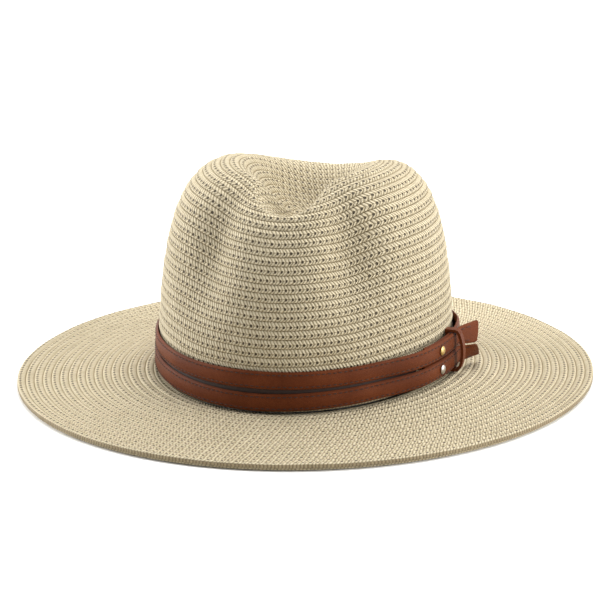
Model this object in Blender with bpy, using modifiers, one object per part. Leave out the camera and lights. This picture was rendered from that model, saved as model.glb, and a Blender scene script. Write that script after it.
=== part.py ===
"""Sewn-braid panama hat with a double leather band.

The hat stands on the edge of its brim, +Z up, with the front of the crown at -Y
and the wearer's left at +X. Units are metres. Places round the hat are given as
an angle from the front, turning towards the wearer's left.
"""
import math

import bmesh
import bpy
from mathutils import Vector

# Driving dimensions
CROWN_HALF_WIDTH = 0.0836      # outside of the crown at the headline
CROWN_HALF_LENGTH = 0.0998
STRAW = 0.0016                 # thickness of the sewn braid
GAP = 0.0003                   # clearance between touching pieces
BRIM_HALF_WIDTH = 0.1663
BRIM_HALF_LENGTH = 0.1829
HEADLINE_HEIGHT = 0.0095       # seam of crown and brim above the brim's edge
SADDLE = 0.0018                # the headline dips front and back, and rises at the sides
HEM_WIDTH = 0.0050
HEM_THICKNESS = 0.0011
HEM_INSET = 0.0012             # hem's outer edge inside the brim's

SIDE_HEIGHT = 0.1195           # crown rim above the headline
TIP_HEIGHT = 0.1045
BACK_HEIGHT = 0.1035
FLOOR_HEIGHT = 0.0880          # bottom of the teardrop hollow
SIDE_RIM = 0.50                # rim's distance from the axis over the headline's
TIP_RIM = 0.70
BACK_RIM = 0.60
PINCH_ANGLE = math.radians(7.5)
TIP_SPREAD = math.radians(30)
DENT_ANGLE = math.radians(34)
DENT_SPREAD = math.radians(13)
DENT_DEPTH = 0.0120

SWEATBAND_THICKNESS = 0.0010
SWEATBAND_HEIGHT = 0.030
LABEL_WIDTH = 0.034
LABEL_HEIGHT = 0.015
LABEL_THICKNESS = 0.0004

STRAP_THICKNESS = 0.0016
BACKING_THICKNESS = 0.0005
BACKING_TUCK = 0.0060          # how far the backing reaches behind each strap
BACKING_START = math.radians(72)
BACKING_END = math.radians(428)
STRAP_WIDTH = 0.0102
STRAP_FRONT_SPACE = 0.0028     # between the two straps at the front
STRAP_SIDE_SPACE = 0.0008      # and where they near each other at the sides
STRAP_BASE = 0.0006            # lower strap above the headline
UNDER_END = math.radians(70)
OVER_END = math.radians(103)
LIFT_START = math.radians(46)
TAIL_START = math.radians(95)
TAIL_FLARE = 0.0150
TAIL_NOTCH = math.radians(3.2)

KEEPER_ANGLE = math.radians(91)
KEEPER_WIDTH = 0.0050
KEEPER_THICKNESS = 0.0016
KEEPER_BULGE = 0.0034          # how far the loop's front bows out from the straps
KEEPER_CLEARANCE = 0.0003

RIVET_ANGLE = math.radians(79)
RIVET_HEAD_RADIUS = 0.0027
RIVET_HEAD_HEIGHT = 0.0011
RIVET_SHANK_RADIUS = 0.0011
RIVET_BACK_THICKNESS = 0.0006

CROWN_COLUMNS = 56
BRIM_COLUMNS = 64
BAND_COLUMNS = 56

KEEPER_ROOM = KEEPER_THICKNESS + 2 * KEEPER_CLEARANCE


def new_collection(name):
    collection = bpy.data.collections.new(name)
    bpy.context.scene.collection.children.link(collection)
    return collection


def make_material(name, colour, roughness, metallic=0.0):
    material = bpy.data.materials.new(name)
    material.use_nodes = True
    shader = material.node_tree.nodes["Principled BSDF"]
    shader.inputs["Base Color"].default_value = (*colour, 1)
    shader.inputs["Roughness"].default_value = roughness
    shader.inputs["Metallic"].default_value = metallic
    return material


def add_object(name, mesh, material, collection):
    obj = bpy.data.objects.new(name, mesh)
    mesh.materials.append(material)
    mesh.shade_smooth()
    mesh.set_sharp_from_angle(angle=math.radians(35))
    collection.objects.link(obj)
    return obj


def smooth_step(value, start, end):
    share = min(1.0, max(0.0, (value - start) / (end - start)))
    return share * share * (3 - 2 * share)


def mix(first, second, share):
    return first + (second - first) * share


def bezier(points, t):
    """Point of a cubic curve through its first and last points."""
    weights = ((1 - t) ** 3, 3 * t * (1 - t) ** 2, 3 * t * t * (1 - t), t ** 3)
    return tuple(sum(w * p[axis] for w, p in zip(weights, points)) for axis in (0, 1))


def saddle_height(angle, share=1.0):
    return HEADLINE_HEIGHT - SADDLE * math.cos(2 * angle) * share


def outward(angle):
    """Unit normal of the headline oval."""
    return Vector((CROWN_HALF_LENGTH * math.sin(angle), -CROWN_HALF_WIDTH * math.cos(angle), 0)).normalized()


def crown_profile(angle):
    """Wall and top curves of the crown as (share of the headline radius, height)."""
    turn = math.remainder(angle - PINCH_ANGLE, 2 * math.pi)
    tip = math.exp(-(turn / TIP_SPREAD) ** 2)
    back = ((1 - math.cos(turn)) / 2) ** 4
    rim = SIDE_RIM + (TIP_RIM - SIDE_RIM) * tip + (BACK_RIM - SIDE_RIM) * back
    height = SIDE_HEIGHT + (TIP_HEIGHT - SIDE_HEIGHT) * tip + (BACK_HEIGHT - SIDE_HEIGHT) * back
    shoulder = rim + mix(0.40, 0.12, tip) * (1 - 0.3 * back)
    wall = ((1, 0), (0.985, 0.6 * height), (shoulder, height * mix(1, 0.9, tip)), (rim, height))
    top = ((rim, height), (rim * 0.72, height + mix(0.002, -0.006, tip)), (rim * 0.5, FLOOR_HEIGHT), (0, FLOOR_HEIGHT))
    return wall, top


def dent(angle, height):
    """Inward push of the two finger dents beside the front of the crown."""
    turn = math.remainder(angle - PINCH_ANGLE, 2 * math.pi)
    sides = sum(math.exp(-((turn - side * DENT_ANGLE) / DENT_SPREAD) ** 2) for side in (-1, 1))
    return DENT_DEPTH * sides * smooth_step(height, 0.25 * SIDE_HEIGHT, 0.72 * SIDE_HEIGHT)


def crown_point(angle, share, height):
    pushed = dent(angle, height) * share
    x = (CROWN_HALF_WIDTH * share - pushed) * math.sin(angle)
    y = -(CROWN_HALF_LENGTH * share - pushed) * math.cos(angle)
    return Vector((x, y, height + saddle_height(angle, share)))


def wall_share(height, angle):
    """Share of the headline radius that the crown's wall has at a height."""
    wall, _ = crown_profile(angle)
    low, high = 0.0, 1.0
    for _ in range(24):
        middle = (low + high) / 2
        if bezier(wall, middle)[1] < height:
            low = middle
        else:
            high = middle
    return bezier(wall, low)[0]


def wall_point(angle, height, offset):
    """Point at a distance outside the crown's wall, offset negative inside."""
    share = wall_share(max(0.0, height), angle)
    x = CROWN_HALF_WIDTH * share * math.sin(angle)
    y = -CROWN_HALF_LENGTH * share * math.cos(angle)
    return Vector((x, y, height + saddle_height(angle))) + outward(angle) * offset


def loft(name, sections, closed, material, collection):
    """Skin a row of equal closed sections; an open row gets flat ends."""
    bm = bmesh.new()
    rings = [[bm.verts.new(point) for point in section] for section in sections]
    pairs = list(zip(rings, rings[1:]))
    if closed:
        pairs.append((rings[-1], rings[0]))
    size = len(sections[0])
    for ring, following in pairs:
        for i in range(size):
            j = (i + 1) % size
            bm.faces.new((ring[i], following[i], following[j], ring[j]))
    if not closed:
        bm.faces.new(rings[0])
        bm.faces.new(reversed(rings[-1]))
    bmesh.ops.recalc_face_normals(bm, faces=bm.faces)
    mesh = bpy.data.meshes.new(name)
    bm.to_mesh(mesh)
    bm.free()
    return add_object(name, mesh, material, collection)


def shell(name, rows, pole, thickness, material, collection):
    """Solidified sheet of rings running outwards to inwards; pole closes the last ring."""
    bm = bmesh.new()
    rings = [[bm.verts.new(point) for point in row] for row in rows]
    count = len(rows[0])
    for ring, following in zip(rings, rings[1:]):
        for i in range(count):
            j = (i + 1) % count
            bm.faces.new((ring[i], ring[j], following[j], following[i]))
    if pole is not None:
        centre = bm.verts.new(pole)
        for i in range(count):
            bm.faces.new((rings[-1][i], rings[-1][(i + 1) % count], centre))
    mesh = bpy.data.meshes.new(name)
    bm.to_mesh(mesh)
    bm.free()
    obj = add_object(name, mesh, material, collection)
    solid = obj.modifiers.new("thickness", "SOLIDIFY")
    solid.thickness = thickness
    solid.offset = -1
    solid.use_even_offset = True
    return obj


def ring_angles(count):
    return [2 * math.pi * i / count for i in range(count)]


def build_crown(material, collection):
    angles = ring_angles(CROWN_COLUMNS)
    rows = []
    for t in (0, 0.08, 0.18, 0.3, 0.42, 0.54, 0.66, 0.78, 0.89, 1):
        rows.append([crown_point(a, *bezier(crown_profile(a)[0], t)) for a in angles])
    for t in (0.15, 0.3, 0.46, 0.64, 0.82):
        rows.append([crown_point(a, *bezier(crown_profile(a)[1], t)) for a in angles])
    pole = Vector((0, 0, FLOOR_HEIGHT + HEADLINE_HEIGHT))
    return shell("crown", rows, pole, STRAW, material, collection)


def brim_point(angle, share):
    """Top face of the brim from the headline (share 0) to its edge (share 1)."""
    inner = wall_point(angle, 0, -STRAW)
    inner.z -= GAP
    edge_height = HEM_THICKNESS + GAP + STRAW
    outer = Vector((BRIM_HALF_WIDTH * math.sin(angle), -BRIM_HALF_LENGTH * math.cos(angle), edge_height))
    point = inner.lerp(outer, share)
    point.z = mix(inner.z, edge_height, smooth_step(share, -0.35, 0.92))
    if share == 0:
        point.z = inner.z
    return point


def build_brim(material, collection):
    angles = ring_angles(BRIM_COLUMNS)
    rows = [[brim_point(a, share) for a in angles] for share in (1, 0.92, 0.7, 0.45, 0.22, 0.03, 0)]
    return shell("brim", rows, None, STRAW, material, collection)


def build_hem(material, collection):
    """The last row of braid, doubled under the brim's edge, with a flat underside."""
    sections = []
    for angle in ring_angles(BRIM_COLUMNS):
        direction = Vector((math.sin(angle), -math.cos(angle), 0))
        edge = Vector((BRIM_HALF_WIDTH * direction.x, BRIM_HALF_LENGTH * direction.y, 0))
        outer = edge - direction * HEM_INSET
        inner = outer - direction * HEM_WIDTH
        rise = Vector((0, 0, HEM_THICKNESS))
        sections.append((inner, outer, outer + rise, inner + rise))
    return loft("brim_edge_hem", sections, True, material, collection)


def build_sweatband(material, collection):
    outer = -(STRAW + GAP)
    inner = outer - SWEATBAND_THICKNESS
    heights = [SWEATBAND_HEIGHT * share for share in (0.03, 0.5, 1)]
    sections = []
    for angle in ring_angles(BAND_COLUMNS):
        rise = [wall_point(angle, height, outer) for height in heights]
        fall = [wall_point(angle, height, inner) for height in reversed(heights)]
        sections.append(rise + fall)
    return loft("sweatband", sections, True, material, collection)


def build_label(material, collection):
    """Blank label sewn to the inside of the sweatband at the back."""
    outer = -(STRAW + 2 * GAP + SWEATBAND_THICKNESS)
    inner = outer - LABEL_THICKNESS
    half_angle = LABEL_WIDTH / 2 / CROWN_HALF_WIDTH
    low = (SWEATBAND_HEIGHT - LABEL_HEIGHT) / 2
    high = low + LABEL_HEIGHT
    bulge = CROWN_HALF_LENGTH * (1 - math.cos(math.pi / BAND_COLUMNS))
    sections = []
    steps = 8
    for i in range(steps + 1):
        angle = math.pi + half_angle * (2 * i / steps - 1)
        sections.append([wall_point(angle, height, offset - bulge) for height, offset in (
            (low, outer), (high, outer), (high, inner), (low, inner))])
    return loft("size_label", sections, False, material, collection)


def strap_offset(turn):
    """Inner face of a strap outside the crown, along its run of more than one turn."""
    over = 2 * math.pi
    room = KEEPER_ROOM * (1 - smooth_step(turn, math.radians(108), math.radians(122)))
    lift = (KEEPER_ROOM + STRAP_THICKNESS + GAP) * smooth_step(turn, over + LIFT_START, over + UNDER_END)
    flare = TAIL_FLARE * smooth_step(turn, over + TAIL_START, over + OVER_END + 0.1)
    return 2 * GAP + BACKING_THICKNESS + room * (turn < math.pi) + lift + flare


def strap_levels(turn, is_upper):
    """Lower and upper edges of a strap; the two near each other towards the sides."""
    side = abs(math.sin(turn))
    half_space = mix(STRAP_FRONT_SPACE, STRAP_SIDE_SPACE, side) / 2
    middle = STRAP_BASE + STRAP_WIDTH + STRAP_FRONT_SPACE / 2
    if is_upper:
        return middle + half_space, middle + half_space + STRAP_WIDTH
    return middle - half_space - STRAP_WIDTH, middle - half_space


def build_strap(name, is_upper, material, collection):
    over = 2 * math.pi
    turns = [UNDER_END + (over + TAIL_START - UNDER_END) * i / 84 for i in range(85)]
    turns += [over + TAIL_START + (OVER_END - TAIL_START) * i / 4 for i in range(1, 5)]
    sections = []
    for turn in turns:
        low, high = strap_levels(turn, is_upper)
        base = strap_offset(turn)
        tail = smooth_step(turn, over + TAIL_START, over + OVER_END)
        slant = TAIL_NOTCH * tail
        outer = base + STRAP_THICKNESS
        low_turn = turn + (-slant if is_upper else slant)
        high_turn = turn + (slant if is_upper else -slant)
        sections.append((wall_point(low_turn, low, base), wall_point(low_turn, low, outer),
                         wall_point(high_turn, high, outer), wall_point(high_turn, high, base)))
    return loft(name, sections, False, material, collection)


def build_backing(material, collection):
    """Thin dark strip behind both straps, which closes the space between them."""
    steps = 72
    sections = []
    for i in range(steps + 1):
        turn = mix(BACKING_START, BACKING_END, i / steps)
        low = strap_levels(turn, False)[1] - BACKING_TUCK
        high = strap_levels(turn, True)[0] + BACKING_TUCK
        base = GAP
        outer = base + BACKING_THICKNESS
        sections.append((wall_point(turn, low, base), wall_point(turn, low, outer),
                         wall_point(turn, high, outer), wall_point(turn, high, base)))
    return loft("band_backing", sections, False, material, collection)


def rivet_place(is_upper):
    low, high = strap_levels(RIVET_ANGLE, is_upper)
    return wall_point(RIVET_ANGLE, (low + high) / 2, 0)


def turned(name, profile, place, material, collection):
    """Turn a profile of (radius, distance outwards) round the rivet's axis."""
    axis = outward(RIVET_ANGLE)
    side = Vector((0, 0, 1)).cross(axis)
    sections = []
    for angle in ring_angles(16):
        radial = side * math.cos(angle) + Vector((0, 0, 1)) * math.sin(angle)
        sections.append([place + radial * radius + axis * reach for radius, reach in profile])
    bm = bmesh.new()
    rings = [[bm.verts.new(section[i]) for section in sections] for i in range(len(profile))]
    for ring, following in zip(rings, rings[1:]):
        for i in range(len(ring)):
            j = (i + 1) % len(ring)
            bm.faces.new((ring[i], ring[j], following[j], following[i]))
    bm.faces.new(rings[0])
    bm.faces.new(reversed(rings[-1]))
    bmesh.ops.recalc_face_normals(bm, faces=bm.faces)
    mesh = bpy.data.meshes.new(name)
    bm.to_mesh(mesh)
    bm.free()
    return add_object(name, mesh, material, collection)


def build_rivet(name, is_upper, material, collection, cutters):
    """Rivet through both layers of its strap, with a flat burr behind them."""
    place = rivet_place(is_upper)
    over = RIVET_ANGLE + 2 * math.pi
    face = strap_offset(over) + STRAP_THICKNESS + GAP
    back = strap_offset(RIVET_ANGLE) - GAP
    burr_start = back - RIVET_BACK_THICKNESS
    head = RIVET_HEAD_RADIUS
    shank = RIVET_SHANK_RADIUS
    turned(name, ((shank, burr_start), (shank, face), (head, face), (head, face + 0.4 * RIVET_HEAD_HEIGHT),
                  (0.75 * head, face + 0.85 * RIVET_HEAD_HEIGHT), (0.3 * head, face + RIVET_HEAD_HEIGHT)),
           place, material, collection)
    bore = shank + GAP
    axis = outward(RIVET_ANGLE)
    side = Vector((0, 0, 1)).cross(axis)
    sections = []
    for angle in ring_angles(16):
        radial = side * math.cos(angle) + Vector((0, 0, 1)) * math.sin(angle)
        sections.append([place + radial * radius + axis * reach for radius, reach in (
            (bore, burr_start), (head, burr_start), (head, back), (bore, back))])
    loft(name + "_burr", sections, True, material, collection)
    cutter = turned(name + "_hole", ((bore, burr_start), (bore, face + RIVET_HEAD_HEIGHT)),
                    place, material, cutters)
    cutter.hide_render = True
    cutter.display_type = "WIRE"
    return cutter


def cut(obj, cutter):
    boolean = obj.modifiers.new("hole", "BOOLEAN")
    boolean.operation = "DIFFERENCE"
    boolean.object = cutter


def build_keeper(material, collection):
    """Leather loop round both straps, where their ends lie over each other."""
    low = strap_levels(KEEPER_ANGLE, False)[0] - KEEPER_CLEARANCE
    high = strap_levels(KEEPER_ANGLE, True)[1] + KEEPER_CLEARANCE
    back = strap_offset(KEEPER_ANGLE) - KEEPER_CLEARANCE
    front = strap_offset(KEEPER_ANGLE + 2 * math.pi) + STRAP_THICKNESS + KEEPER_CLEARANCE
    normal = outward(KEEPER_ANGLE)
    along = Vector((0, 0, 1)).cross(normal) * (KEEPER_WIDTH / 2)
    foot = wall_point(KEEPER_ANGLE, 0, 0)
    lean = wall_point(KEEPER_ANGLE, high, 0) - foot
    thick = KEEPER_THICKNESS

    def place(reach, height):
        return foot + lean * (height / high) + normal * reach

    steps = 10
    inner = [(back, low)]
    outer = [(back - thick, low - thick)]
    for i in range(steps + 1):
        bend = math.pi * i / steps
        bow = math.sin(bend)
        rise = (1 - math.cos(bend)) / 2
        inner.append((front + KEEPER_BULGE * bow, mix(low, high, rise)))
        outer.append((front + KEEPER_BULGE * bow + thick * (0.3 + 0.7 * bow), mix(low - thick, high + thick, rise)))
    inner.append((back, high))
    outer.append((back - thick, high + thick))
    sections = []
    for near, far in zip(inner, outer):
        sections.append((place(*near) - along, place(*near) + along, place(*far) + along, place(*far) - along))
    return loft("keeper_loop", sections, True, material, collection)


def main():
    for obj in list(bpy.data.objects):
        bpy.data.objects.remove(obj)
    hat = new_collection("panama_hat")
    cutters = new_collection("cutters")
    straw = make_material("straw", (0.60, 0.53, 0.37), 0.75)
    leather = make_material("leather", (0.30, 0.10, 0.035), 0.45)
    cotton = make_material("cotton", (0.70, 0.64, 0.50), 0.85)
    paper = make_material("label", (0.80, 0.78, 0.72), 0.8)
    brass = make_material("brass", (0.60, 0.44, 0.18), 0.35, 1.0)
    nickel = make_material("nickel", (0.50, 0.47, 0.43), 0.35, 1.0)
    build_crown(straw, hat)
    build_brim(straw, hat)
    build_hem(straw, hat)
    build_sweatband(cotton, hat)
    build_label(paper, hat)
    build_backing(leather, hat)
    for name, is_upper, metal in (("upper", True, brass), ("lower", False, nickel)):
        strap = build_strap(name + "_strap", is_upper, leather, hat)
        cut(strap, build_rivet(name + "_rivet", is_upper, metal, hat, cutters))
    build_keeper(leather, hat)


main()
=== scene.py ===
"""Looks of the sewn-braid panama hat: braid rows, leather band, stitching, light and camera."""
import math

import bmesh
import bpy
import numpy as np
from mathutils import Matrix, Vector


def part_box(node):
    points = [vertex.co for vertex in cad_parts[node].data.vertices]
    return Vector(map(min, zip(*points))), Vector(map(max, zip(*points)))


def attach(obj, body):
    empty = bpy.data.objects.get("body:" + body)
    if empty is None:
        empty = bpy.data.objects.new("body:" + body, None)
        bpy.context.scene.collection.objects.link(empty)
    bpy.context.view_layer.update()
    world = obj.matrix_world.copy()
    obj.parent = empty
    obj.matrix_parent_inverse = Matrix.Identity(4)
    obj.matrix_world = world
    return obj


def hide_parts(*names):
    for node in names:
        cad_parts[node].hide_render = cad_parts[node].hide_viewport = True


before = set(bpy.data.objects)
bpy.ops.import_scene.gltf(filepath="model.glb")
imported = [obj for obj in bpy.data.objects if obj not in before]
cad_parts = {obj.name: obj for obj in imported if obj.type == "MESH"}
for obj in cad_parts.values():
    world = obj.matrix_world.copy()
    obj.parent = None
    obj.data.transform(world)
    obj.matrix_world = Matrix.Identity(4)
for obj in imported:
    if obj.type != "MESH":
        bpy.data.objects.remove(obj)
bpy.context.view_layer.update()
HAT = "hat"

# The hat's outer sizes come from the frame; the rest of its rule is the CAD source's own
CROWN_LOW, CROWN_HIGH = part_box("crown")
BRIM_LOW, BRIM_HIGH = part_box("brim")
HALF_WIDTH = (CROWN_HIGH[0] - CROWN_LOW[0]) / 2
HALF_LENGTH = (CROWN_HIGH[1] - CROWN_LOW[1]) / 2
BRIM_HALF_WIDTH = (BRIM_HIGH[0] - BRIM_LOW[0]) / 2
BRIM_HALF_LENGTH = (BRIM_HIGH[1] - BRIM_LOW[1]) / 2
HEADLINE_HEIGHT = 0.0095
SADDLE = 0.0018
STRAW = 0.0016
GAP = 0.0003
HEM_WIDTH = 0.0050
HEM_INSET = 0.0012
HEM_ROLL = 0.0007
HEM_ROLL_INSET = 0.0004
HEM_ROLL_STEPS = 8
HEM_FOOT = 0.0001
HEM_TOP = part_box("brim_edge_hem")[1][2]
SIDE_HEIGHT = 0.1195
TIP_HEIGHT = 0.1045
BACK_HEIGHT = 0.1035
FLOOR_HEIGHT = 0.0880
SIDE_RIM = 0.50
TIP_RIM = 0.70
BACK_RIM = 0.60
PINCH_ANGLE = math.radians(7.5)
TIP_SPREAD = math.radians(30)
DENT_ANGLE = math.radians(34)
DENT_SPREAD = math.radians(13)
DENT_DEPTH = 0.0120
DENT_START_SHARE = 0.25
DENT_FULL_SHARE = 0.72
BRIM_CURVE = (-0.35, 0.92)

STRAP_THICKNESS = 0.0016
BACKING_THICKNESS = 0.0005
STRAP_WIDTH = 0.0102
STRAP_FRONT_SPACE = 0.0028
STRAP_SIDE_SPACE = 0.0008
STRAP_BASE = 0.0006
UNDER_END = math.radians(70)
OVER_END = math.radians(103)
LIFT_START = math.radians(46)
TAIL_START = math.radians(95)
TAIL_FLARE = 0.0150
TAIL_OVERRUN = 0.1
TAIL_NOTCH = math.radians(3.2)
KEEPER_ROOM = 0.0022
KEEPER_ROOM_FULL = math.radians(108)
KEEPER_ROOM_GONE = math.radians(122)
RIVET_ANGLE = math.radians(79)
RIVET_DOME = 0.0011
RIVET_SIDES = 40

STRAP_STEPS = 300
STITCH_START = math.radians(118)
STITCH_END_SPACE = math.radians(2)
STITCH_PITCH = 0.0036
STITCH_THREAD_SHARE = 0.72
STITCH_RADIUS = 0.00032
STITCH_ROWS = (0.17, 0.83)
STITCH_DEPTH = 0.93
STITCH_SIDES = 6
STITCH_RINGS = 5

CROWN_ROWS = 35
CROWN_COLUMNS = 320
BRIM_ROWS = 17
BRIM_COLUMNS = 480
STRAND_PITCH = 0.0021
PROFILE_SAMPLES = 60
POLE_SHARE = 0.012
POLE_UV = [0.5, 0.35]
EDGE_RISE = 0.3
ROW_STEPS = ((0, 0), (0.08, 0.3), (0.28, 0.78), (0.52, 1), (0.78, 0.95), (0.93, 0.7))
CROWN_RELIEF = 0.0010
FLAT_UNDER_BAND = 0.12
BAND_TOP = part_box("upper_strap")[1][2]
BRIM_RELIEF = 0.0011
SMOOTH_JOIN_ROWS = (0.6, 1.2)
SLOW_WAVER = 0.12
FAST_WAVER = 0.08
UNDER_RELIEF = 0.0002
HEM_STRAND_PLACE = 0.35

STAGE_SIZE = 12
STAGE_GAP = 0.0004
FULL_TURN = 2 * math.pi


def smooth_step(value, start, end):
    share = np.clip((value - start) / (end - start), 0, 1)
    return share * share * (3 - 2 * share)


def mix(first, second, share):
    return first + (second - first) * share


def bezier(points, t):
    weights = ((1 - t) ** 3, 3 * t * (1 - t) ** 2, 3 * t * t * (1 - t), t ** 3)
    return [sum(w * p[axis] for w, p in zip(weights, points)) for axis in (0, 1)]


def saddle_height(angle, share=1.0):
    return HEADLINE_HEIGHT - SADDLE * np.cos(2 * angle) * share


def outward(angle):
    normal = np.array([HALF_LENGTH * math.sin(angle), -HALF_WIDTH * math.cos(angle), 0])
    return normal / np.linalg.norm(normal)


def crown_profile(angle):
    turn = math.remainder(angle - PINCH_ANGLE, FULL_TURN)
    tip = math.exp(-(turn / TIP_SPREAD) ** 2)
    back = ((1 - math.cos(turn)) / 2) ** 4
    rim = SIDE_RIM + (TIP_RIM - SIDE_RIM) * tip + (BACK_RIM - SIDE_RIM) * back
    height = SIDE_HEIGHT + (TIP_HEIGHT - SIDE_HEIGHT) * tip + (BACK_HEIGHT - SIDE_HEIGHT) * back
    shoulder = rim + mix(0.40, 0.12, tip) * (1 - 0.3 * back)
    wall = ((1, 0), (0.985, 0.6 * height), (shoulder, height * mix(1, 0.9, tip)), (rim, height))
    fall = (rim * 0.72, height + mix(0.002, -0.006, tip))
    top = ((rim, height), fall, (rim * 0.5, FLOOR_HEIGHT), (0, FLOOR_HEIGHT))
    return wall, top


def crown_points(angle, share, height):
    turn = math.remainder(angle - PINCH_ANGLE, FULL_TURN)
    sides = sum(math.exp(-((turn - side * DENT_ANGLE) / DENT_SPREAD) ** 2) for side in (-1, 1))
    dented = smooth_step(height, DENT_START_SHARE * SIDE_HEIGHT, DENT_FULL_SHARE * SIDE_HEIGHT)
    pushed = DENT_DEPTH * sides * dented * share
    x = (HALF_WIDTH * share - pushed) * math.sin(angle)
    y = -(HALF_LENGTH * share - pushed) * math.cos(angle)
    return np.stack([x, y, height + saddle_height(angle, share)], -1)


def wall_point(angle, height, offset):
    wall, _ = crown_profile(angle)
    low, high = 0.0, 1.0
    for _ in range(24):
        middle = (low + high) / 2
        if bezier(wall, middle)[1] < height:
            low = middle
        else:
            high = middle
    share = bezier(wall, low)[0]
    point = np.array([HALF_WIDTH * share * math.sin(angle), -HALF_LENGTH * share * math.cos(angle),
                      height + saddle_height(angle)])
    return point + outward(angle) * offset


def row_steps(rows):
    """Places across the rows, and how high the braid stands at each."""
    places = [row + place for row in range(rows) for place, _ in ROW_STEPS] + [rows]
    rises = [rise for _ in range(rows) for _, rise in ROW_STEPS] + [EDGE_RISE]
    return np.array(places, float), np.array(rises)


def surface_normals(points):
    """Normals of a grid whose columns run round the hat."""
    along = np.roll(points, -1, 1) - np.roll(points, 1, 1)
    across = np.gradient(points, axis=0)
    normals = np.cross(across, along)
    return normals / np.maximum(np.linalg.norm(normals, axis=-1, keepdims=True), 1e-12)


def grid_piece(name, points, places, strands, material, body, node=None, pole=None, loop=False):
    """Mesh of a grid closed round the hat; its UVs count strands along and rows across."""
    rows, columns, _ = points.shape
    vertices = points.reshape(-1, 3).tolist()
    faces, uvs = [], []
    last = rows if loop else rows - 1
    for i in range(last):
        k = (i + 1) % rows
        low, high = places[i], places[i + 1]
        count = strands[i]
        for j in range(columns):
            m = (j + 1) % columns
            faces.append((i * columns + j, k * columns + j, k * columns + m, i * columns + m))
            left, right = count * j / columns, count * (j + 1) / columns
            uvs += [left, low, left, high, right, high, right, low]
    if pole is not None:
        centre = len(vertices)
        vertices.append(list(pole))
        for j in range(columns):
            faces.append((centre, j, (j + 1) % columns))
            uvs += POLE_UV * 3
    mesh = bpy.data.meshes.new(name)
    mesh.from_pydata(vertices, [], faces)
    layer = mesh.uv_layers.new(name="rows")
    layer.data.foreach_set("uv", uvs)
    return add_piece(name, mesh, material, body, node)


def add_piece(name, mesh, material, body, node=None):
    mesh.materials.append(material)
    mesh.shade_smooth()
    obj = bpy.data.objects.new(name, mesh)
    bpy.context.scene.collection.objects.link(obj)
    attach(obj, body)
    if node:
        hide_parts(node)
    return obj


def strand_counts(points):
    lengths = np.linalg.norm(np.roll(points, -1, 1) - points, axis=-1).sum(1)
    return np.maximum(4, 2 * np.round(lengths / STRAND_PITCH / 2))


def per_row(counts, places):
    """One strand count for all the faces of a row, so that strands stay whole across it."""
    rows = np.floor(np.array(places[:-1]) + 1e-6).astype(int)
    return [counts[np.where(rows == row)[0][0]] for row in rows]


def crown_column(angle, shares):
    """One line down the crown, from the middle of its top to the headline, read at equal lengths."""
    samples = np.linspace(0, 1, PROFILE_SAMPLES)
    wall, top = crown_profile(angle)
    from_centre = np.array(bezier(top, samples))[:, ::-1]
    to_headline = np.array(bezier(wall, samples))[:, -2::-1]
    curve = np.concatenate([from_centre, to_headline], 1)
    line = crown_points(angle, curve[0], curve[1])
    length = np.concatenate([[0], np.cumsum(np.linalg.norm(np.diff(line, axis=0), axis=1))])
    return np.stack([np.interp(shares * length[-1], length, line[:, k]) for k in range(3)], -1)


def waver(turn, places, slow, fast):
    """Small hand-made unevenness in how high the rows stand, as one slow and one fast wave."""
    slow_wave = SLOW_WAVER * np.sin(slow[0] * turn + slow[1] * places)
    fast_wave = FAST_WAVER * np.sin(fast[0] * turn - fast[1] * places)
    return 1 + slow_wave + fast_wave


def build_crown(straw):
    places, rises = row_steps(CROWN_ROWS)
    shares = POLE_SHARE + (1 - POLE_SHARE) * places / CROWN_ROWS
    angles = [FULL_TURN * j / CROWN_COLUMNS for j in range(CROWN_COLUMNS)]
    base = np.stack([crown_column(angle, shares) for angle in angles], 1)
    normals = surface_normals(base)
    uneven = waver(np.array(angles)[None], places[:, None], (9, 2.1), (23, 3))
    bare = smooth_step(base[..., 2], BAND_TOP - 0.003, BAND_TOP + 0.001)
    relief = CROWN_RELIEF * mix(FLAT_UNDER_BAND, 1, bare)
    outside = base + normals * (rises[:, None] * uneven * relief)[..., None]
    counts = per_row(strand_counts(base), places)
    grid_piece("crown_braid", outside, places, counts, straw, HAT, "crown", base[0].mean(0))
    inside = (base - normals * STRAW)[::-len(ROW_STEPS)]
    inner_places = np.arange(len(inside), dtype=float)
    inner = grid_piece("crown_lining_side", inside, inner_places, strand_counts(inside), straw, HAT)
    close_top(inner)


def close_top(obj):
    """Close the inner sheet at the middle of the crown's top."""
    bm = bmesh.new()
    bm.from_mesh(obj.data)
    edges = [e for e in bm.edges if e.is_boundary and max(v.co.z for v in e.verts) > BAND_TOP]
    bmesh.ops.holes_fill(bm, edges=edges)
    bm.to_mesh(obj.data)
    bm.free()


def brim_points(angle, share):
    inner = wall_point(angle, 0, -STRAW)
    inner[2] -= GAP
    edge_height = HEM_TOP + GAP + STRAW
    outer = np.array([BRIM_HALF_WIDTH * math.sin(angle), -BRIM_HALF_LENGTH * math.cos(angle),
                      edge_height])
    points = inner + (outer - inner) * share[:, None]
    points[:, 2] = mix(inner[2], edge_height, smooth_step(share, *BRIM_CURVE))
    return points


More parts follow.
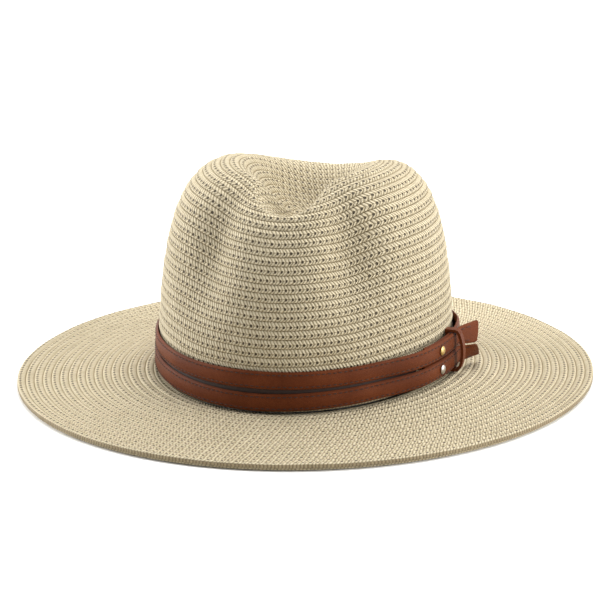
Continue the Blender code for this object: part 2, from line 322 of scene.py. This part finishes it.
def build_brim(straw):
    places, rises = row_steps(BRIM_ROWS)
    shares = places / BRIM_ROWS
    angles = [FULL_TURN * j / BRIM_COLUMNS for j in range(BRIM_COLUMNS)]
    base = np.stack([brim_points(a, shares) for a in angles], 1)
    upward = np.array([0, 0, 1.0])
    uneven = waver(np.array(angles)[None], places[:, None], (11, 1.7), (29, 2))
    clear = smooth_step(places, *SMOOTH_JOIN_ROWS)
    top = base + upward * (rises * clear)[:, None, None] * (uneven * BRIM_RELIEF)[..., None]
    under_steps = slice(None, None, -2)
    under_places = places[under_steps]
    under = base[under_steps] - upward * (STRAW + rises[under_steps, None, None] * UNDER_RELIEF)
    counts_top = per_row(strand_counts(base), places)
    whole = strand_counts(base)[::len(ROW_STEPS)]
    under_rows = np.maximum(0, np.ceil(under_places - 1e-6).astype(int) - 1)
    counts = counts_top + [whole[-1]] + [whole[row] for row in under_rows]
    grid_piece("brim_braid", np.concatenate([top, under]), np.concatenate([places, under_places, [0]]),
               counts, straw, HAT, "brim", loop=True)


def build_hem(straw):
    """The doubled last row: a flat-bottomed strip with a rolled outer edge."""
    section = []
    for step in range(HEM_ROLL_STEPS + 1):
        bend = math.pi * (step / HEM_ROLL_STEPS - 0.5)
        section.append((-HEM_ROLL_INSET + HEM_ROLL * math.cos(bend), HEM_TOP / 2 * (1 + math.sin(bend))))
    section += [(-HEM_WIDTH / 2, HEM_TOP), (-HEM_WIDTH, HEM_TOP * 0.9), (-HEM_WIDTH, HEM_FOOT),
                (-HEM_WIDTH / 2, 0)]
    angles = [FULL_TURN * j / BRIM_COLUMNS for j in range(BRIM_COLUMNS)]
    directions = np.array([[math.sin(angle), -math.cos(angle), 0] for angle in angles])
    edge = np.array([BRIM_HALF_WIDTH, BRIM_HALF_LENGTH, 0]) * directions
    points = np.array([edge + directions * (reach - HEM_INSET) + np.array([0, 0, height])
                       for reach, height in section])
    places = [HEM_STRAND_PLACE] * (len(points) + 1)
    counts = [strand_counts(points)[0]] * len(points)
    grid_piece("brim_hem_braid", points, places, counts, straw, HAT, "brim_edge_hem", loop=True)


def strap_offset(turn):
    room = KEEPER_ROOM * (1 - smooth_step(turn, KEEPER_ROOM_FULL, KEEPER_ROOM_GONE))
    lapped = smooth_step(turn, FULL_TURN + LIFT_START, FULL_TURN + UNDER_END)
    lift = (KEEPER_ROOM + STRAP_THICKNESS + GAP) * lapped
    flare = TAIL_FLARE * smooth_step(turn, FULL_TURN + TAIL_START, FULL_TURN + OVER_END + TAIL_OVERRUN)
    return 2 * GAP + BACKING_THICKNESS + room * (turn < math.pi) + lift + flare


def strap_levels(turn, is_upper):
    side = abs(math.sin(turn))
    half_space = mix(STRAP_FRONT_SPACE, STRAP_SIDE_SPACE, side) / 2
    middle = STRAP_BASE + STRAP_WIDTH + STRAP_FRONT_SPACE / 2
    if is_upper:
        return middle + half_space, middle + half_space + STRAP_WIDTH
    return middle - half_space - STRAP_WIDTH, middle - half_space


def strap_section():
    """Rounded section of a turned-edge strap as (share of width, share of thickness)."""
    front = [(0.04, 0.55), (0.07, 0.85), (0.12, 0.98), (0.17, 0.88), (0.22, 0.98), (0.5, 1.06),
             (0.78, 0.98), (0.83, 0.88), (0.88, 0.98), (0.93, 0.85), (0.96, 0.55)]
    return [(0.03, 0.0), (0.0, 0.3), *front, (1.0, 0.3), (0.97, 0.0)]


def strap_point(turn, is_upper, across, depth):
    low, high = strap_levels(turn, is_upper)
    tail = smooth_step(turn, FULL_TURN + TAIL_START, FULL_TURN + OVER_END)
    slant = TAIL_NOTCH * tail * mix(-1, 1, across)
    if not is_upper:
        slant = -slant
    return wall_point(turn + slant, mix(low, high, across), strap_offset(turn) + STRAP_THICKNESS * depth)


def tube_faces(first, rings, sides):
    """Faces of a closed tube whose rings of corners follow one another from the corner first."""
    faces = []
    for i in range(rings - 1):
        near, far = first + i * sides, first + (i + 1) * sides
        for j in range(sides):
            k = (j + 1) % sides
            faces.append((near + j, far + j, far + k, near + k))
    last = first + (rings - 1) * sides
    return faces + [tuple(range(first, first + sides)), tuple(reversed(range(last, last + sides)))]


def closed_mesh(name, vertices, faces):
    mesh = bpy.data.meshes.new(name)
    mesh.from_pydata(vertices, [], faces)
    bm = bmesh.new()
    bm.from_mesh(mesh)
    bmesh.ops.recalc_face_normals(bm, faces=bm.faces)
    bm.to_mesh(mesh)
    bm.free()
    return mesh


def build_strap(name, is_upper, leather, thread):
    end = FULL_TURN + OVER_END
    turns = [UNDER_END + (end - UNDER_END) * i / STRAP_STEPS for i in range(STRAP_STEPS + 1)]
    section = strap_section()
    vertices = [strap_point(turn, is_upper, *place).tolist() for turn in turns for place in section]
    mesh = closed_mesh(name + "_leather", vertices, tube_faces(0, len(turns), len(section)))
    add_piece(name + "_leather", mesh, leather, HAT, name)
    mesh.set_sharp_from_angle(angle=math.radians(60))
    build_stitches(name + "_stitches", is_upper, thread)


def stitch_points(start, finish, normal):
    """A short spindle of thread, thick in its middle and thin where it enters the leather."""
    along = finish - start
    side = np.cross(along / np.linalg.norm(along), normal)
    points = []
    for i in range(STITCH_RINGS):
        share = i / (STITCH_RINGS - 1)
        swell = math.sin(math.pi * share)
        centre = start + along * share + normal * STITCH_RADIUS * 0.6 * swell
        thick = STITCH_RADIUS * (0.25 + 0.75 * swell)
        for j in range(STITCH_SIDES):
            bend = FULL_TURN * j / STITCH_SIDES
            corner = centre + thick * (side * math.cos(bend) + normal * math.sin(bend))
            points.append(corner.tolist())
    return points


def build_stitches(name, is_upper, thread):
    """Two rows of thread, each stitch partly sunk in the leather."""
    pitch = STITCH_PITCH / HALF_LENGTH
    last = FULL_TURN + OVER_END - STITCH_END_SPACE
    vertices, faces = [], []
    for across in STITCH_ROWS:
        turn = STITCH_START
        while turn < last:
            start = strap_point(turn, is_upper, across, STITCH_DEPTH)
            finish = strap_point(turn + pitch * STITCH_THREAD_SHARE, is_upper, across, STITCH_DEPTH)
            faces += tube_faces(len(vertices), STITCH_RINGS, STITCH_SIDES)
            vertices += stitch_points(start, finish, outward(turn))
            turn += pitch
    add_piece(name, closed_mesh(name, vertices, faces), thread, HAT)


def build_rivet(name, metal):
    """Domed cap with a rolled rim and a small dimple."""
    low, high = (Vector(corner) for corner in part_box(name))
    axis = Vector(outward(RIVET_ANGLE))
    half = (high - low) / 2
    centre = (low + high) / 2
    radius = half.z
    reach = half.x * abs(axis.x) + half.y * abs(axis.y) - radius * abs(axis.y)
    tip = centre + axis * reach
    profile = [(0.0, -0.10), (0.12, -0.06), (0.3, 0.0), (0.5, -0.08), (0.72, -0.26), (0.85, -0.45),
               (0.93, -0.62), (1.0, -0.72), (1.02, -0.85), (1.0, -1.0), (0.4, -1.05), (0.0, -1.05)]
    side = Vector((0, 0, 1)).cross(axis)
    bm = bmesh.new()
    rings = []
    for share, down in profile:
        if share == 0:
            rings.append([bm.verts.new(tip + axis * down * RIVET_DOME)])
            continue
        ring = []
        for j in range(RIVET_SIDES):
            bend = FULL_TURN * j / RIVET_SIDES
            radial = side * math.cos(bend) + Vector((0, 0, 1)) * math.sin(bend)
            ring.append(bm.verts.new(tip + radial * radius * share + axis * down * RIVET_DOME))
        rings.append(ring)
    for ring, following in zip(rings, rings[1:]):
        for j in range(RIVET_SIDES):
            k = (j + 1) % RIVET_SIDES
            corners = [ring[j % len(ring)], ring[k % len(ring)], following[k % len(following)],
                       following[j % len(following)]]
            bm.faces.new(list(dict.fromkeys(corners)))
    bmesh.ops.recalc_face_normals(bm, faces=bm.faces)
    mesh = bpy.data.meshes.new(name + "_cap")
    bm.to_mesh(mesh)
    bm.free()
    add_piece(name + "_cap", mesh, metal, HAT, name)


class Graph:
    """Short way to write a material's maths."""

    def __init__(self, name):
        self.material = bpy.data.materials.new(name)
        self.material.use_nodes = True
        self.tree = self.material.node_tree
        self.shader = self.tree.nodes["Principled BSDF"]

    def node(self, kind, **settings):
        node = self.tree.nodes.new(kind)
        for key, value in settings.items():
            setattr(node, key, value)
        return node

    def feed(self, socket, value):
        if isinstance(value, bpy.types.NodeSocket):
            self.tree.links.new(value, socket)
        else:
            socket.default_value = value

    def math(self, operation, *values):
        node = self.node("ShaderNodeMath", operation=operation)
        for socket, value in zip(node.inputs, values):
            self.feed(socket, value)
        return node.outputs[0]

    def add(self, first, second):
        return self.math("ADD", first, second)

    def minus(self, first, second):
        return self.math("SUBTRACT", first, second)

    def times(self, first, second):
        return self.math("MULTIPLY", first, second)

    def smooth(self, value, start, end):
        node = self.node("ShaderNodeMapRange", interpolation_type="SMOOTHSTEP")
        self.feed(node.inputs[0], value)
        self.feed(node.inputs[1], start)
        self.feed(node.inputs[2], end)
        return node.outputs[0]

    def noise(self, scale, detail=3.0, vector=None):
        node = self.node("ShaderNodeTexNoise")
        node.inputs["Scale"].default_value = scale
        node.inputs["Detail"].default_value = detail
        if vector is None:
            vector = self.node("ShaderNodeTexCoord").outputs["Object"]
        self.feed(node.inputs["Vector"], vector)
        return node.outputs[0]

    def random(self, first, second):
        pair = self.node("ShaderNodeCombineXYZ")
        self.feed(pair.inputs[0], first)
        self.feed(pair.inputs[1], second)
        node = self.node("ShaderNodeTexWhiteNoise", noise_dimensions="2D")
        self.feed(node.inputs["Vector"], pair.outputs[0])
        return node.outputs[0]

    def ramp(self, value, *stops):
        node = self.node("ShaderNodeValToRGB")
        elements = node.color_ramp.elements
        for position, colour in stops[1:-1]:
            elements.new(position).color = (*colour, 1)
        elements[0].position, elements[-1].position = stops[0][0], stops[-1][0]
        elements[0].color, elements[-1].color = (*stops[0][1], 1), (*stops[-1][1], 1)
        self.feed(node.inputs[0], value)
        return node.outputs[0]

    def finish(self, colour, roughness, height, strength, distance, metallic=0.0):
        self.feed(self.shader.inputs["Base Color"], colour)
        self.feed(self.shader.inputs["Roughness"], roughness)
        self.shader.inputs["Metallic"].default_value = metallic
        if height is not None:
            bump = self.node("ShaderNodeBump")
            bump.inputs["Strength"].default_value = strength
            bump.inputs["Distance"].default_value = distance
            self.feed(bump.inputs["Height"], height)
            self.tree.links.new(bump.outputs[0], self.shader.inputs["Normal"])
        return self.material


def straw_material():
    """Plaited paper straw: two slants of strand in each row, with small gaps between them; its colour
    carries painted shade, darker wherever the braid's relief is low.
    """
    crease = 0.6
    gap_place, gap_half_height, gap_narrowness = 0.64, 0.17, 5.2
    g = Graph("paper_straw_braid")
    uv = g.node("ShaderNodeUVMap", uv_map="rows").outputs[0]
    split = g.node("ShaderNodeSeparateXYZ")
    g.feed(split.inputs[0], uv)
    drift = g.minus(g.noise(140.0, 2.0), 0.5)
    u = g.add(split.outputs[0], g.times(drift, 1.1))
    v = split.outputs[1]
    across = g.add(g.math("FRACT", v), g.times(drift, 0.06))
    row = g.math("FLOOR", v)
    is_lower = g.math("GREATER_THAN", across, crease)
    rising = g.minus(u, g.times(across, 1.5))
    falling = g.add(u, g.times(across, 1.7))
    slant = g.add(rising, g.times(is_lower, g.minus(falling, rising)))
    # Strands domed across their width: through the colour ramp below, their crests are lighter and their
    # sides get painted shade.
    dome = g.math("SINE", g.times(g.math("FRACT", slant), math.pi))
    dome = g.math("POWER", dome, 0.9)
    # The crease between the two slants dips, and is painted darker there as shade in the crease.
    seam = g.smooth(g.math("ABSOLUTE", g.minus(across, crease)), 0.0, 0.09)
    # Each row dips where it tucks under the row above and is painted darker there as that row's shadow;
    # it dips again at its own lower edge, painted darker as shade.
    top_edge_dip_and_shadow = g.add(g.times(g.smooth(across, 0.0, 0.12), 0.62), 0.38)
    low_edge_dip_and_shade = g.add(g.times(g.smooth(g.minus(1.0, across), 0.0, 0.05), 0.4), 0.6)
    # Small holes between pairs of strands sit low in the relief and are painted near-black as shade
    # inside them.
    pair = g.minus(g.math("FRACT", g.times(u, 0.5)), 0.5)
    gap_x = g.math("POWER", g.math("ABSOLUTE", g.times(pair, gap_narrowness)), 2.0)
    from_gap = g.math("DIVIDE", g.minus(across, gap_place), gap_half_height)
    gap_y = g.math("POWER", g.math("ABSOLUTE", from_gap), 2.0)
    solid = g.smooth(g.add(gap_x, gap_y), 0.35, 1.3)
    strand = g.add(g.times(dome, 0.72), 0.28)
    height = g.times(strand, g.times(g.add(g.times(seam, 0.45), 0.55), solid))
    height = g.times(height, g.times(top_edge_dip_and_shadow, low_edge_dip_and_shade))
    tint = g.random(g.math("FLOOR", slant), g.add(row, is_lower))
    tone = g.add(g.times(tint, 0.16), g.times(g.noise(30.0), 0.16))
    tint_and_shade = g.times(height, g.add(tone, 0.84))
    # The colour follows the relief: near-black painted shade in the holes, the crease and under the row
    # above, pale straw on the strand crests, with the random tint per strand on top.
    colour = g.ramp(tint_and_shade, (0.0, (0.05, 0.035, 0.015)), (0.3, (0.22, 0.165, 0.085)),
                    (0.6, (0.44, 0.365, 0.225)), (1.0, (0.60, 0.52, 0.36)))
    fibre = g.noise(900.0, 2.0)
    relief = g.add(height, g.times(fibre, 0.18))
    roughness = g.add(0.62, g.times(fibre, 0.2))
    return g.finish(colour, roughness, relief, 0.9, 0.0009)


def leather_material():
    g = Graph("brown_leather")
    cloud = g.noise(45.0, 4.0)
    grain = g.node("ShaderNodeTexVoronoi", feature="DISTANCE_TO_EDGE")
    grain.inputs["Scale"].default_value = 1500.0
    g.feed(grain.inputs["Vector"], g.node("ShaderNodeTexCoord").outputs["Object"])
    pores = g.smooth(grain.outputs[0], 0.0, 0.25)
    tone = g.add(g.times(cloud, 0.7), g.times(pores, 0.3))
    colour = g.ramp(tone, (0.25, (0.085, 0.020, 0.006)), (0.55, (0.125, 0.031, 0.009)),
                    (0.85, (0.185, 0.050, 0.016)))
    roughness = g.minus(0.5, g.times(pores, 0.12))
    g.shader.inputs["Specular IOR Level"].default_value = 0.08
    return g.finish(colour, roughness, pores, 0.35, 0.0002)


def thread_material():
    g = Graph("brown_thread")
    colour = g.ramp(g.noise(2500.0, 2.0), (0.3, (0.014, 0.005, 0.002)), (0.7, (0.035, 0.012, 0.006)))
    return g.finish(colour, 0.7, g.noise(4000.0, 1.0), 0.4, 0.0001)


def cotton_material():
    """Grosgrain ribbon with fine upright ribs."""
    g = Graph("ribbon")
    split = g.node("ShaderNodeSeparateXYZ")
    g.feed(split.inputs[0], g.node("ShaderNodeTexCoord").outputs["Object"])
    around = g.math("ARCTAN2", split.outputs[1], split.outputs[0])
    ribs = g.math("SINE", g.times(around, 620.0))
    weft = g.math("SINE", g.times(split.outputs[2], 9000.0))
    relief = g.add(ribs, g.times(weft, 0.3))
    tone = g.add(g.times(relief, 0.2), g.noise(60.0))
    colour = g.ramp(tone, (0.2, (0.52, 0.46, 0.34)), (0.8, (0.74, 0.68, 0.55)))
    return g.finish(colour, 0.85, relief, 0.4, 0.0002)


def label_material():
    g = Graph("woven_label")
    weave = g.noise(2200.0, 2.0)
    colour = g.ramp(weave, (0.3, (0.72, 0.69, 0.62)), (0.7, (0.84, 0.82, 0.76)))
    return g.finish(colour, 0.8, weave, 0.3, 0.0001)


def metal_material(name, dark, light):
    g = Graph(name)
    wear = g.noise(900.0, 4.0)
    colour = g.ramp(wear, (0.3, dark), (0.7, light))
    roughness = g.add(0.22, g.times(wear, 0.25))
    return g.finish(colour, roughness, wear, 0.1, 0.0001, 1.0)


def finish_nodes(leather, thread, cotton, label, brass, brim_reflection_brass):
    """Better finishes on the frame's own pieces that stay, with softened edges; the band backing takes
    near-black painted shade, and the lower burr a painted reflection of the brim.
    """
    # The backing strip behind the straps is given the near-black thread colour as painted shade in the
    # gap between them.
    finishes = {"keeper_loop": leather, "sweatband": cotton, "size_label": label, "band_backing": thread,
                "upper_rivet_burr": brass, "lower_rivet_burr": brim_reflection_brass}
    for node, material in finishes.items():
        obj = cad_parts[node]
        for place in obj.material_slots:
            place.material = material
    for node, width in (("keeper_loop", 0.0004), ("size_label", 0.00012)):
        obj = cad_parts[node]
        bevel = obj.modifiers.new("softened_edges", "BEVEL")
        bevel.width = width
        bevel.segments = 3
        bevel.limit_method = "ANGLE"
        bevel.angle_limit = math.radians(40)


def area_light(name, place, target, size, power):
    data = bpy.data.lights.new(name, "AREA")
    data.size = size
    data.energy = power
    obj = bpy.data.objects.new(name, data)
    obj.location = place
    obj.rotation_euler = (Vector(target) - Vector(place)).to_track_quat("-Z", "Y").to_euler()
    bpy.context.scene.collection.objects.link(obj)


def build_stage():
    """Pale floor, soft lights, and a surround that is dimmer in front of the hat than behind it."""
    bpy.ops.mesh.primitive_plane_add(size=STAGE_SIZE, location=(0, 0, -STAGE_GAP))
    floor = bpy.context.active_object
    floor.name = "floor"
    material = bpy.data.materials.new("floor")
    material.use_nodes = True
    shader = material.node_tree.nodes["Principled BSDF"]
    shader.inputs["Base Color"].default_value = (0.93, 0.93, 0.93, 1)
    shader.inputs["Roughness"].default_value = 0.9
    floor.data.materials.append(material)
    world = bpy.data.worlds.new("studio")
    bpy.context.scene.world = world
    world.use_nodes = True
    background = world.node_tree.nodes["Background"]
    background.inputs[0].default_value = (1, 1, 1, 1)
    coordinates = world.node_tree.nodes.new("ShaderNodeTexCoord")
    split = world.node_tree.nodes.new("ShaderNodeSeparateXYZ")
    front_shade = world.node_tree.nodes.new("ShaderNodeMapRange")
    for socket, value in zip(front_shade.inputs[1:5], (-0.9, 0.2, 0.15, 1.0)):
        socket.default_value = value
    links = world.node_tree.links
    links.new(coordinates.outputs["Generated"], split.inputs[0])
    links.new(split.outputs[1], front_shade.inputs[0])
    links.new(front_shade.outputs[0], background.inputs[1])
    middle = (0, 0, 0.05)
    area_light("left_window", (-1.5, 0.0, 0.6), middle, 1.0, 26)
    area_light("right_window", (1.5, 0.1, 0.6), middle, 1.0, 20)
    area_light("overhead", (0, 0.6, 1.7), middle, 1.0, 30)
    bpy.context.scene.view_settings.view_transform = "Standard"


def build_camera():
    """Long lens in front of the hat, turned to its own left and a little above the brim."""
    azimuth, elevation, distance = math.radians(18.06), math.radians(15.69), 2.55
    side_shift, aim_above_headline = -0.0037, 0.0364
    right = Vector((math.cos(azimuth), math.sin(azimuth), 0))
    back = Vector((math.sin(azimuth) * math.cos(elevation), -math.cos(azimuth) * math.cos(elevation),
                   math.sin(elevation)))
    target = right * side_shift + Vector((0, 0, HEADLINE_HEIGHT + aim_above_headline))
    camera = bpy.data.cameras.new("camera")
    camera.sensor_width = 36
    camera.lens = 262.95
    camera.clip_end = 50
    obj = bpy.data.objects.new("camera", camera)
    obj.location = target + back * distance
    obj.rotation_euler = (-back).to_track_quat("-Z", "Y").to_euler()
    bpy.context.scene.collection.objects.link(obj)
    bpy.context.scene.camera = obj


def main():
    build_camera()
    straw = straw_material()
    leather = leather_material()
    thread = thread_material()
    brass = metal_material("satin_brass", (0.45, 0.30, 0.10), (0.75, 0.55, 0.24))
    # The lower rivet is the same brass as the upper one; its greyish beige colour is a painted
    # reflection of the pale brim.
    brim_reflection_brass = metal_material("brass_with_painted_brim_reflection", (0.38, 0.34, 0.30), (0.62, 0.58, 0.54))
    build_crown(straw)
    build_brim(straw)
    build_hem(straw)
    build_strap("upper_strap", True, leather, thread)
    build_strap("lower_strap", False, leather, thread)
    build_rivet("upper_rivet", brass)
    # Lower rivet cap: brass with a painted reflection of the brim in its colour.
    build_rivet("lower_rivet", brim_reflection_brass)
    finish_nodes(leather, thread, cotton_material(), label_material(), brass, brim_reflection_brass)
    build_stage()


main()
